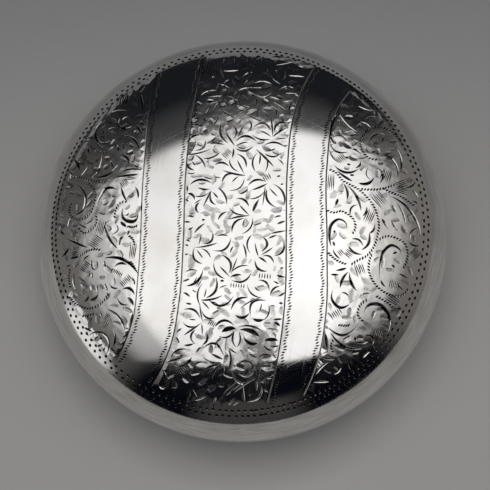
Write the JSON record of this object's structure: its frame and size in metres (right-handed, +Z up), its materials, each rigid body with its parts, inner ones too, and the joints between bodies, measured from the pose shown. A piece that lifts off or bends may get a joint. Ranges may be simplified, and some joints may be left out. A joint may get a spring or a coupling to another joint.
{
  "type": "pill box",
  "caption": "Round cushion-shaped silver pill box with a domed engraved lid on a flush hinge, closing over an inner bezel.",
  "frame": {"origin": "centre of the flat face that the box stands on", "axes": "+Z up, +Y towards the hinge, +X to the right seen from the front"},
  "size_m": [0.052, 0.052, 0.0193],
  "materials": {
    "engraved_silver": "polished and engraved silver, tarnish in the cuts",
    "polished_silver": "polished silver with fine wear",
    "gilt_silver": "worn gilt wash",
    "pin_steel": "drawn wire"
  },
  "bodies": {
    "base": {"base_shell": "polished_silver", "base_bezel": "gilt_silver", "base_knuckle_left": "polished_silver", "base_knuckle_middle": "polished_silver", "base_knuckle_right": "polished_silver", "hinge_pin": "pin_steel", "hinge_plug_left": "polished_silver", "hinge_plug_right": "polished_silver"},
    "lid": {"lid_shell": "engraved_silver", "lid_rim": "gilt_silver", "lid_knuckle_left": "polished_silver", "lid_knuckle_right": "polished_silver"}
  },
  "joints": [
    {"name": "lid_hinge", "type": "hinge", "parent": "base", "child": "lid", "pos_m": [0, 0.0247, 0.0078], "axis": [-1, 0, 0], "range_deg": [0, 95]}
  ]
}
